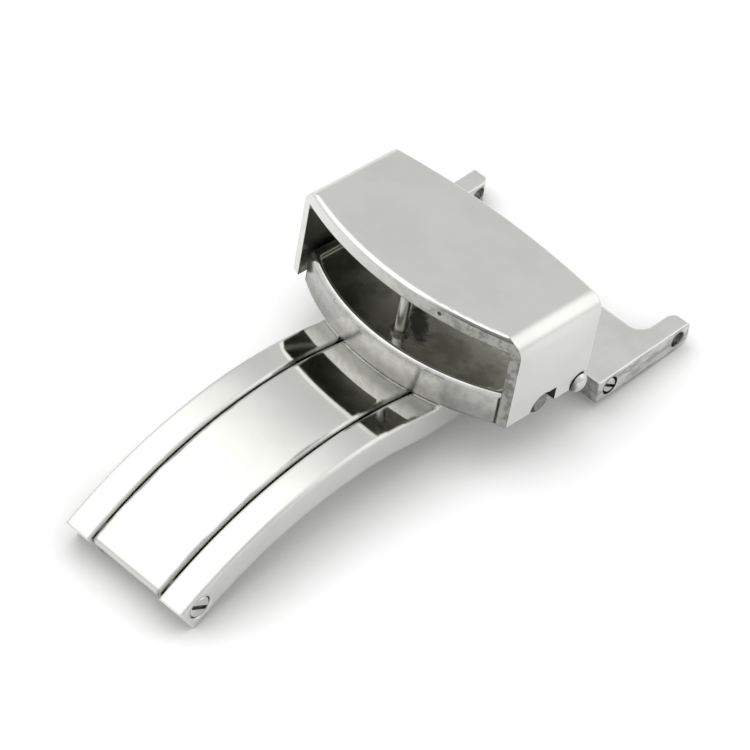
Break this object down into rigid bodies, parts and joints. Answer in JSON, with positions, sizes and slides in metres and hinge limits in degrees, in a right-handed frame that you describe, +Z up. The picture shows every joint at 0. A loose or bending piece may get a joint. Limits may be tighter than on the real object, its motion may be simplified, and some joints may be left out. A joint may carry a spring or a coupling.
{
  "type": "deployant watch clasp",
  "caption": "Single-fold push-button deployant clasp: curved two-rail frame, folding centre blade, hinged box cover over a bowed base plate, and a hinged strap fork.",
  "frame": {"origin": "middle of the clasp's box, on the table that the closed clasp rests on", "axes": "+Y along the clasp from the free hinge end to the strap fork, +X across the strap, +Z up from the table"},
  "size_m": [0.0216, 0.0446, 0.0126],
  "materials": {
    "polished_steel": "polished stainless steel",
    "hinge_steel": "turned stainless steel",
    "latch_steel": "fine blasted stainless steel",
    "spring_steel": "drawn spring wire"
  },
  "bodies": {
    "frame": {"outer_frame": "polished_steel", "blade_hinge_tube": "hinge_steel", "blade_screw_left": "hinge_steel", "blade_screw_right": "hinge_steel"},
    "blade": {"centre_blade": "polished_steel", "base_plate": "polished_steel", "strap_post": "polished_steel", "box_axle": "hinge_steel", "axle_cap_left": "polished_steel", "axle_cap_right": "polished_steel", "button_spring_left": "spring_steel", "button_spring_right": "spring_steel"},
    "cover": {"cover": "polished_steel"},
    "latch_left": {"button_left": "latch_steel", "claw_left": "latch_steel"},
    "latch_right": {"button_right": "latch_steel", "claw_right": "latch_steel"},
    "fork": {"fork": "polished_steel", "fork_hinge_tube": "hinge_steel", "fork_screw_left": "hinge_steel", "fork_screw_right": "hinge_steel"}
  },
  "joints": [
    {"name": "blade_hinge", "type": "hinge", "parent": "frame", "child": "blade", "pos_m": [0, -0.02051, 0.00168], "axis": [1, 0, 0], "range_deg": [0, 165]},
    {"name": "cover_hinge", "type": "hinge", "parent": "blade", "child": "cover", "pos_m": [0, 0.01077, 0.00407], "axis": [-1, 0, 0], "range_deg": [0, 75]},
    {"name": "fork_hinge", "type": "hinge", "parent": "frame", "child": "fork", "pos_m": [0, 0.01405, 0.00146], "axis": [1, 0, 0], "range_deg": [-35, 8]},
    {"name": "button_left_press", "type": "slide", "parent": "blade", "child": "latch_left", "axis": [1, 0, 0], "range_m": [0, 0.0007], "stiffness_N_per_m": 1000, "springref_m": -0.0007, "deforming": ["button_spring_left"]},
    {"name": "button_right_press", "type": "slide", "parent": "blade", "child": "latch_right", "axis": [-1, 0, 0], "range_m": [0, 0.0007], "stiffness_N_per_m": 1000, "springref_m": -0.0007, "deforming": ["button_spring_right"]}
  ]
}
